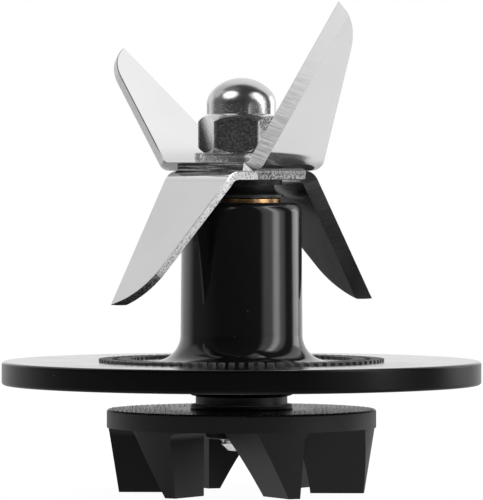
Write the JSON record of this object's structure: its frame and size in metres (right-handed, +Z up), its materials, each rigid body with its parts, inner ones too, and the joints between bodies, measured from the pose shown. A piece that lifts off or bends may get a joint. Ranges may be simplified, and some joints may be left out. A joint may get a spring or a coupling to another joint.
{
  "type": "blender blade assembly",
  "caption": "Blender blade assembly: crossed stamped blades under a domed nut, on a bearing spindle in a hubbed round base, driven from below by a toothed coupler.",
  "frame": {"origin": "on the spin axis, at the level of the coupler's feet", "axes": "+Z up the spin axis towards the blades; -Y faces the front of the picture's view"},
  "size_m": [0.082, 0.082, 0.0832],
  "materials": {
    "coated_black": "gloss black coating",
    "blade_steel": "stamped stainless steel with ground edges",
    "nut_steel": "polished stainless steel",
    "washer_steel": "turned stainless steel",
    "dark_steel": "blackened steel",
    "shaft_steel": "ground stainless steel with rolled threads",
    "bearing_steel": "ground bearing steel",
    "cage_nylon": "natural nylon",
    "seal_rubber": "moulded black rubber",
    "bronze": "turned bronze",
    "coupler_black": "moulded black, glass-filled"
  },
  "bodies": {
    "housing": {"base_plate": "coated_black", "outer_spacer_sleeve": "shaft_steel", "retaining_clip": "dark_steel", "shaft_seal": "seal_rubber", "seal_spring": "shaft_steel", "wear_ring": "bronze", "lower_bearing_outer_ring": "bearing_steel", "lower_bearing_shields": "bearing_steel", "upper_bearing_outer_ring": "bearing_steel", "upper_bearing_shields": "bearing_steel"},
    "spindle": {"shaft": "shaft_steel", "inner_spacer_sleeve": "shaft_steel", "flared_ring": "seal_rubber", "support_washer": "dark_steel", "lower_blade": "blade_steel", "upper_blade": "blade_steel", "top_washer": "washer_steel", "cap_nut": "nut_steel", "slinger": "seal_rubber", "drive_coupler": "coupler_black", "coupler_insert": "shaft_steel", "lower_bearing_inner_ring": "bearing_steel", "upper_bearing_inner_ring": "bearing_steel"},
    "lower_cage": {"lower_bearing_balls": "bearing_steel", "lower_bearing_cage": "cage_nylon"},
    "upper_cage": {"upper_bearing_balls": "bearing_steel", "upper_bearing_cage": "cage_nylon"}
  },
  "joints": [
    {"name": "spindle_spin", "type": "hinge", "parent": "housing", "child": "spindle", "pos_m": [0, 0, 0.031], "axis": [0, 0, 1], "continuous": true},
    {"name": "lower_cage_roll", "type": "hinge", "parent": "housing", "child": "lower_cage", "pos_m": [0, 0, 0.0205], "axis": [0, 0, 1], "continuous": true},
    {"name": "upper_cage_roll", "type": "hinge", "parent": "housing", "child": "upper_cage", "pos_m": [0, 0, 0.0419], "axis": [0, 0, 1], "continuous": true}
  ],
  "couplings": [
    {"joint": "lower_cage_roll", "follows": "spindle_spin", "ratio": 0.40083},
    {"joint": "upper_cage_roll", "follows": "spindle_spin", "ratio": 0.40083}
  ]
}
